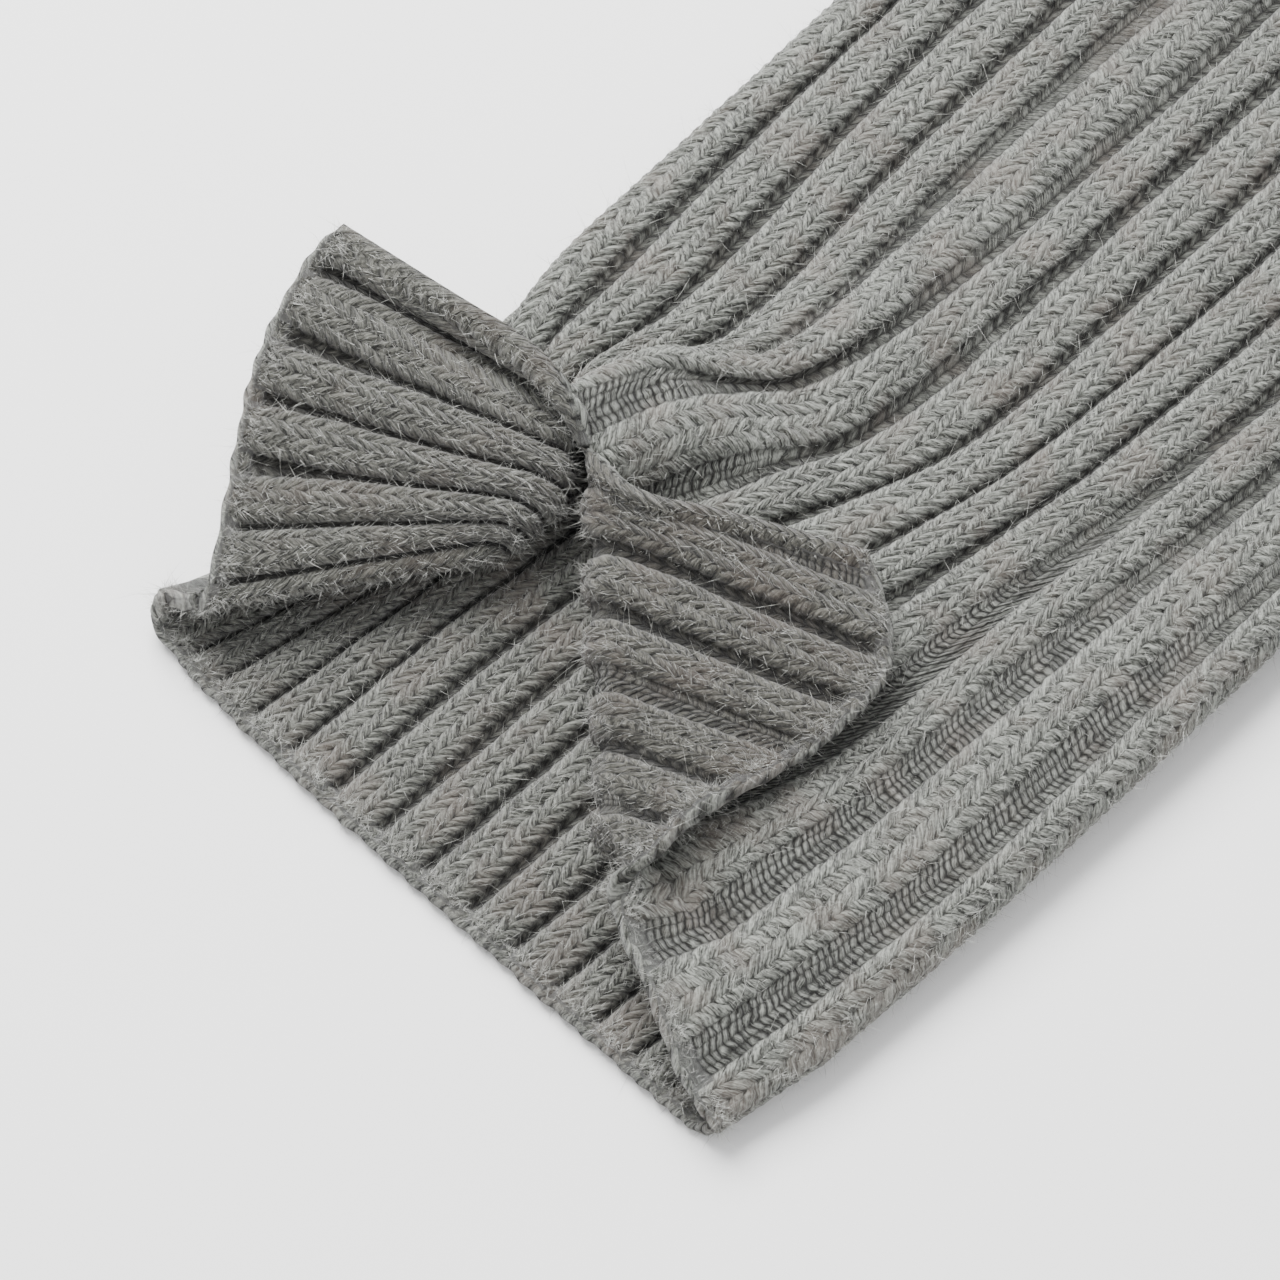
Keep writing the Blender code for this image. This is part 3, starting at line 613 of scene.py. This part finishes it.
def melange_wool(name, light, dark, groove, warm, shade):
    """The yarn's material: single stitches and fibres, from the panel's own attributes.

    Its colours are the light and dark fibres, the painted shade of the gaps between stitches, a warm
    tint here and there and the painted shade laid over the inner side.
    """
    material, shader = new_material(name, Roughness=0.95, Sheen_Roughness=0.55)
    shader.inputs["Specular IOR Level"].default_value = 0.15
    tree = material.node_tree

    def calc(operation, *values):
        return add(tree, "ShaderNodeMath", list(enumerate(values)), operation=operation).outputs[0]

    def between(value, low, high):
        links = [("Value", value), ("From Min", low), ("From Max", high)]
        return add(tree, "ShaderNodeMapRange", links, interpolation_type="SMOOTHSTEP").outputs[0]

    def blend(factor, a, b):
        rest = calc("MULTIPLY", a, calc("SUBTRACT", 1.0, factor))
        return calc("ADD", rest, calc("MULTIPLY", b, factor))

    def parts(label):
        vector = add(tree, "ShaderNodeAttribute", attribute_name=label).outputs["Vector"]
        return add(tree, "ShaderNodeSeparateXYZ", [(0, vector)]).outputs[:3]

    where = add(tree, "ShaderNodeTexCoord").outputs["Object"]

    def noise(scale, detail, **more):
        links = [("Vector", more.pop("at", where)), ("Scale", scale), ("Detail", detail)]
        return add(tree, "ShaderNodeTexNoise", links + list(more.items())).outputs

    # where each point lies in its rib and course, a little stirred
    place, course, pitch = parts("knit")
    roped, strand, rope_q = parts("rope")
    wobble = add(tree, "ShaderNodeSeparateColor", [(0, noise(330.0, 2.0)[1])]).outputs
    place = calc("MULTIPLY_ADD", calc("SUBTRACT", wobble[0], 0.5), 0.06, place)
    course = calc("MULTIPLY_ADD", calc("SUBTRACT", wobble[1], 0.5), 0.4, course)
    middle = calc("MULTIPLY", calc("SUBTRACT", calc("FRACT", place), 0.5), pitch)
    half = calc("MULTIPLY_ADD", pitch, RIB_SHARE, RIB_REST)
    half = calc("MINIMUM", half, calc("MULTIPLY", pitch, RIB_MOST))
    half = calc("MAXIMUM", half, calc("MULTIPLY_ADD", pitch, 0.5, -0.5 * BAND_MOST))
    # the plain stitches: q runs across a wale, over runs across the yarn of one leg
    away = calc("ABSOLUTE", middle)
    across = calc("MULTIPLY_ADD", calc("DIVIDE", away, half), 2.0, -1.0)
    q = blend(roped, calc("MINIMUM", calc("ABSOLUTE", across), 1.0), rope_q)
    rise = calc("MULTIPLY_ADD", q, -LEAN, blend(roped, course, strand))
    over = calc("MULTIPLY", calc("SUBTRACT", calc("FRACT", rise), 0.5), 1.55)
    side = calc("GREATER_THAN", across, 0.0)
    right = calc("GREATER_THAN", middle, 0.0)
    leg_row = calc("MULTIPLY_ADD", calc("FLOOR", place), 4.0, calc("MULTIPLY_ADD", right, 2.0, side))
    end = calc("POWER", calc("ABSOLUTE", calc("MULTIPLY_ADD", q, 2.0, -1.0)), 4.0)
    arch = calc("SUBTRACT", calc("SUBTRACT", 1.0, calc("POWER", calc("DIVIDE", over, 0.84), 2.0)),
                calc("MULTIPLY", end, 0.55))
    leg = calc("SQRT", calc("MAXIMUM", arch, 0.0))
    # purl bars in the furrow, in two columns that lean towards each other
    past = calc("SUBTRACT", away, half)
    band = calc("MAXIMUM", calc("SUBTRACT", pitch, calc("MULTIPLY", half, 2.0)), 0.5)
    into = calc("MINIMUM", calc("DIVIDE", past, calc("MULTIPLY", band, 0.5)), 1.0)
    wide = between(band, 2.6, 6.0)
    loose = calc("MULTIPLY_ADD", wobble[2], 0.7, course)
    bar_over = calc("MULTIPLY_ADD", calc("FRACT", calc("MULTIPLY_ADD", into, 0.5, loose)), 2.0, -1.0)
    bar_end = calc("MULTIPLY_ADD", into, 2.0, -1.0)
    # where the band is wide, each bar shows as two rows of small loops, staggered
    column = calc("FLOOR", calc("MULTIPLY", into, 1.99))
    loop_end = calc("MULTIPLY_ADD", into, 2.0, calc("MULTIPLY", column, -1.0))
    loop_end = calc("MULTIPLY_ADD", loop_end, 2.0, -1.0)
    lean = calc("MULTIPLY_ADD", column, 0.5, calc("MULTIPLY", loop_end, 0.18))
    loop_rise = calc("MULTIPLY_ADD", loose, 2.0, lean)
    loop_over = calc("MULTIPLY_ADD", calc("FRACT", loop_rise), 2.0, -1.0)
    bar_over, bar_end = blend(wide, bar_over, loop_over), blend(wide, bar_end, loop_end)
    bar = calc("SUBTRACT", 1.0, calc("MULTIPLY", bar_over, bar_over))
    bar = calc("MULTIPLY", bar, calc("MULTIPLY_ADD", calc("MULTIPLY", bar_end, bar_end), -0.6, 1.0))
    sunk = calc("MULTIPLY", between(past, -0.3, 0.3), calc("SUBTRACT", 1.0, roped))
    # fibres that lie along each leg, mixed light and dark, with a chance of its own for each stitch
    stitch = calc("MULTIPLY_ADD", leg_row, 17.0, calc("FLOOR", rise))
    chance = add(tree, "ShaderNodeTexWhiteNoise", [("W", stitch)], noise_dimensions="1D")
    chance = chance.outputs["Value"]
    lay_along = blend(sunk, calc("MULTIPLY", q, 3.7), away)
    lay_over = blend(sunk, over, bar_over)
    lay = add(tree, "ShaderNodeCombineXYZ", [
        (0, calc("MULTIPLY", lay_along, 0.3)),
        (1, calc("MULTIPLY", calc("MULTIPLY_ADD", lay_along, 0.25, lay_over), 4.2)),
        (2, calc("MULTIPLY", chance, 60.0))]).outputs[0]
    fibre = noise(1.0, 4.0, at=lay, Roughness=0.7)[0]
    fleck, cloud = noise(1600.0, 3.0)[0], noise(90.0, 3.0)[0]
    mixed = calc("ADD", calc("MULTIPLY", fibre, 1.55), calc("MULTIPLY", fleck, 0.45))
    tone = between(calc("MULTIPLY_ADD", chance, 0.1, mixed), 0.8, 1.34)
    colour = mix_colour(tree, tone, linear(dark), linear(light))
    tinted = mix_colour(tree, 0.5, colour, linear(warm))
    colour = mix_colour(tree, between(cloud, 0.45, 0.75), colour, tinted)
    # painted shade: the gaps between legs and bars, narrow bands of purl most, are dimmed and have less
    # haze, for the shadow that falls in them
    deep = calc("MULTIPLY_ADD", roped, 0.1, 0.65)
    crown = blend(sunk, calc("MULTIPLY_ADD", calc("SUBTRACT", leg, 1.0), deep, 0.95),
                  calc("MULTIPLY", bar, calc("MULTIPLY_ADD", wide, 0.4, 0.4)))
    dim = mix_colour(tree, 1.0, colour, linear(groove), "MULTIPLY")
    lit = between(crown, 0.0, 0.9)
    colour = mix_colour(tree, lit, dim, colour)
    tree.links.new(calc("MULTIPLY_ADD", lit, 0.15, 0.1), shader.inputs["Sheen Weight"])
    # the painted shade laid over the inner side
    painted_shade = add(tree, "ShaderNodeAttribute", attribute_name="painted_shade").outputs["Fac"]
    shaded = mix_colour(tree, 1.0, colour, linear(shade), "MULTIPLY")
    tree.links.new(mix_colour(tree, painted_shade, colour, shaded), shader.inputs["Base Color"])
    # the yarn's round legs and its fibres, as fine relief
    leg_relief = calc("MULTIPLY", leg, calc("MULTIPLY_ADD", roped, 0.3, 0.58))
    relief = blend(sunk, leg_relief, calc("MULTIPLY", bar, 0.5))
    relief = calc("MULTIPLY_ADD", mixed, 0.42, relief)
    bump = add(tree, "ShaderNodeBump", [("Height", relief), ("Strength", 1.0), ("Distance", MM)])
    tree.links.new(bump.outputs[0], shader.inputs["Normal"])
    return material


# the gap colour and the last colour are painted shade, of the gaps between stitches and of the inner
# side
yarn = melange_wool("grey_melange_wool", "#9fa29a", "#262722", "#45423f", "#7b7169", "#afaaa6")


def rows_at(courses, stretches):
    """Row numbers for stretches of (from course, to course, spacing in courses)."""
    wanted = np.concatenate([np.arange(a, b, gap) for a, b, gap in stretches] + [[END_COURSE]])
    return sorted({int(abs(courses - c).argmin()) for c in wanted})


def knit_panels(node, cloth, per_rib, panels):
    """One tube's panels. panels are (name, low place, high place, ribs, inner and outer stretches)."""
    courses = cloth["courses"]
    for name, low, high, ribs, inner, outer in panels:
        first, last = (int(round((place - SLIT) * per_rib)) for place in (low, high))
        inner_rows, outer_rows = rows_at(courses, inner)[::-1], rows_at(courses, outer)
        piece = knit_panel(name, cloth, first, last, inner_rows, outer_rows, yarn)
        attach(piece, "root")
        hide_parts(node)


# The panels meet at these rib places. What shows is finer than what lies inside or underneath.
PANEL_AT = (SLIT, 14, 28, SLIT + RIBS)
PANEL_RIBS = (8.75, 14, 5.25)
PER_RIB = 20  # columns of points a rib
fine = np.concatenate([np.arange(0, LEVEL_COURSE, 0.2),
                       np.arange(LEVEL_COURSE, END_COURSE + 0.01, 0.8)])
cloth = knit_cloth(open_mouth, ROWS_OPEN, PER_RIB, fine, (0, 0))
shown = ((0, 22, 0.2), (22, 30, 1), (30, END_COURSE, 6))
mouth_shown = ((0, 40, 0.2), (40, 50, 1), (50, END_COURSE, 6))
under = ((0, END_COURSE, 2.4),)
flap_under = ((0, 15, 0.6), (15, LEVEL_COURSE, 0.2), (LEVEL_COURSE, END_COURSE, 0.8))
names = ("slit_open_front_right", "slit_open_back", "slit_open_front_left")
inner, outer = (shown, mouth_shown, shown), (flap_under, under, flap_under)
knit_panels("leg_warmer_slit_open", cloth, PER_RIB,
            zip(names, PANEL_AT, PANEL_AT[1:], PANEL_RIBS, inner, outer))

# Fuzz: ends of the wool's fibres that stand out of the yarn all over it, pale and very thin. Most lie
# along their stitch and some stand off, so the outlines look soft.
FIBRE_RADIUS, FIBRE_ROOT, SHORTEST = 0.042, 0.25, 0.9  # at its root, how deep that is sunk, length
DARKEST, LIGHTEST = 0.35, 0.65  # noise values of the darkest and the lightest fibres
haze, shader = new_material("loose_wool_fibres", Roughness=0.8, Sheen_Weight=0.3)
tree = haze.node_tree
where = add(tree, "ShaderNodeTexCoord").outputs["Object"]
links = [("Vector", where), ("Scale", 900.0), ("Detail", 1.0)]
strands = add(tree, "ShaderNodeTexNoise", links).outputs[0]
links = [("Value", strands), ("From Min", DARKEST), ("From Max", LIGHTEST)]
mixed = add(tree, "ShaderNodeMapRange", links).outputs[0]
fibre_colour = mix_colour(tree, mixed, linear("#6c6b66"), linear("#d3d4ce"))
tree.links.new(fibre_colour, shader.inputs["Base Color"])


def loose_fibres(name, cloth, patches, longest, bends, seed, material):
    """Fibres rooted in the cloth, as one piece.

    patches are (face, from course, to course, low place, high place, count). bends is how many bends a
    fibre has, and longest is in millimetres.
    """
    rng = np.random.default_rng(seed)
    roots, ways, rises = [], [], []
    for face, start, stop, low, high, count in patches:
        rows = np.flatnonzero((cloth["courses"] >= start) & (cloth["courses"] < stop))[:-1]
        columns = np.flatnonzero((cloth["place"] >= low) & (cloth["place"] < high))[:-1]
        points = cloth[face]
        corner = points[rows][:, columns]
        along = points[rows + 1][:, columns] - corner
        across = points[rows][:, columns + 1] - corner
        upright = np.cross(across, along) * (1 if face == "outer" else -1)
        # more of them on high places than in the furrows
        area = np.linalg.norm(upright, axis=-1)
        area *= np.linalg.norm(corner - cloth["middle"][rows][:, columns], axis=-1) ** 2
        picked = rng.choice(area.size, count, p=(area / area.sum()).ravel())
        corner, along, across, upright = (
            v.reshape(-1, 3)[picked] for v in (corner, along, across, upright))
        u, v = rng.uniform(0, 1, (2, count, 1))
        roots.append(corner + u * along + v * across)
        unit = [w / np.linalg.norm(w, axis=1, keepdims=True) for w in (along, across, upright)]
        lean = rng.normal(0, 0.75, (count, 1))
        ways.append(unit[0] * rng.choice((-1, 1), (count, 1)) + lean * unit[1])
        rises.append(unit[2])
    root, way, rise = (np.concatenate(v) for v in (roots, ways, rises))
    way /= np.linalg.norm(way, axis=1, keepdims=True)
    count = len(root)
    long = MM * (SHORTEST + (longest - SHORTEST) * rng.uniform(0, 1, (count, 1)) ** 2)
    lift = 0.12 + 1.2 * rng.uniform(0, 1, (count, 1)) ** 1.6
    curl = rng.normal(0, 0.35, (count, 3))
    bm = bmesh.new()
    bmesh.ops.create_cone(bm, cap_ends=False, segments=3, radius1=1, radius2=0.0, depth=1)
    if bends:
        upright_edges = [e for e in bm.edges if abs(e.verts[0].co.z - e.verts[1].co.z) > 0.5]
        bmesh.ops.subdivide_edges(bm, edges=upright_edges, cuts=bends)
    bmesh.ops.remove_doubles(bm, verts=bm.verts, dist=0.001)
    bmesh.ops.triangulate(bm, faces=bm.faces)
    one = np.array([v.co for v in bm.verts])
    shape = [[v.index for v in f.verts] for f in bm.faces]
    bm.free()
    t = (one[:, 2] + 0.5)[None, :, None]
    off = t * lift[:, None] * long[:, None] - FIBRE_ROOT * MM
    path = way[:, None] * t * long[:, None] + rise[:, None] * off
    path = path + curl[:, None] * (t * t) * long[:, None]
    side = np.cross(way, rise)
    ring = one[None, :, :1] * side[:, None] + one[None, :, 1:2] * rise[:, None]
    ring = ring * FIBRE_RADIUS * MM
    co = (root[:, None] + path + ring).reshape(-1, 3)
    co[:, 2] = np.maximum(co[:, 2], 0.0002)
    faces = (np.array(shape)[None] + (np.arange(count) * len(one))[:, None, None]).reshape(-1, 3)
    mesh = bpy.data.meshes.new(name)
    mesh.from_pydata(co.tolist(), [], faces.tolist())
    mesh.materials.append(material)
    piece = bpy.data.objects.new(name, mesh)
    bpy.context.collection.objects.link(piece)
    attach(piece, "root")
    return piece


loose_fibres("slit_open_fuzz", cloth, (
    ("outer", 4, LEVEL_COURSE, SLIT, 13.1, 20000),
    ("outer", 12, LEVEL_COURSE, 27.6, SLIT + RIBS, 9000),
    ("outer", LEVEL_COURSE, END_COURSE, SLIT, SLIT + RIBS, 3000),
    ("inner", 0, 22, SLIT, 12, 7000),
    ("inner", 0, 22, 27.5, SLIT + RIBS, 7000),
    ("inner", 0, 24, 12, 27.5, 8000),
    ("inner", 0, 1, SLIT, SLIT + RIBS, 6000),
    ("outer", 0, 1, SLIT, SLIT + RIBS, 6000),
), 2.8, 0, 5, haze)
loose_fibres("slit_open_long_fuzz", cloth, (
    ("outer", 4, LEVEL_COURSE, SLIT, 13.1, 3000),
    ("outer", 12, LEVEL_COURSE, 27.6, SLIT + RIBS, 1600),
    ("inner", 0, 22, SLIT, 12, 900),
    ("inner", 0, 22, 27.5, SLIT + RIBS, 900),
    ("inner", 0, 24, 12, 27.5, 900),
    ("inner", 0, 1, SLIT, SLIT + RIBS, 700),
    ("outer", 0, 1, SLIT, SLIT + RIBS, 700),
), 5.2, 1, 15, haze)

# Second leg warmer: the same tube, laid flat beside the first with its slit closed. The camera sees
# only the first, so this one's stitches have fewer points and its fuzz is thinner.
APART = (153.0, 122.0)  # from the first hem's middle to the second's, in millimetres


def closed_mouth(rib):
    """The second tube's rings: the slit's edges lie side by side."""
    ys = (0.0, 16.0, 32.0, 43.0, 54.0, 62.0, 70.0, 78.0) + BENDS
    rings = [tube(rib, y, pulled=0.0) for y in ys]
    side = np.where(rib < OPPOSITE, 1.0, -1.0) * np.exp(-np.minimum(rib - SLIT, SLIT + RIBS - rib))
    for ring, gap in zip(rings, (2.6, 1.9, 1.2, 0.6)):
        ring[:, 0] += gap * side
    return rings


PER_RIB_PLAIN = 12
even = np.arange(0, END_COURSE + 0.01, 0.4)
second = knit_cloth(closed_mouth, ROWS_PLAIN, PER_RIB_PLAIN, even, APART)
hem_only = ((0, 6, 0.4), (6, END_COURSE, 4))
fine_all, coarse_all = ((0, END_COURSE, 0.4),), ((0, END_COURSE, 2),)
names = ("slit_closed_front_right", "slit_closed_back", "slit_closed_front_left")
inner, outer = (hem_only,) * 3, (fine_all, coarse_all, fine_all)
knit_panels("leg_warmer_slit_closed", second, PER_RIB_PLAIN,
            zip(names, PANEL_AT, PANEL_AT[1:], PANEL_RIBS, inner, outer))

loose_fibres("slit_closed_fuzz", second, (
    ("outer", 0, END_COURSE, SLIT, 13.1, 7500),
    ("outer", 0, END_COURSE, 27.6, SLIT + RIBS, 5000),
), 3.0, 0, 6, haze)
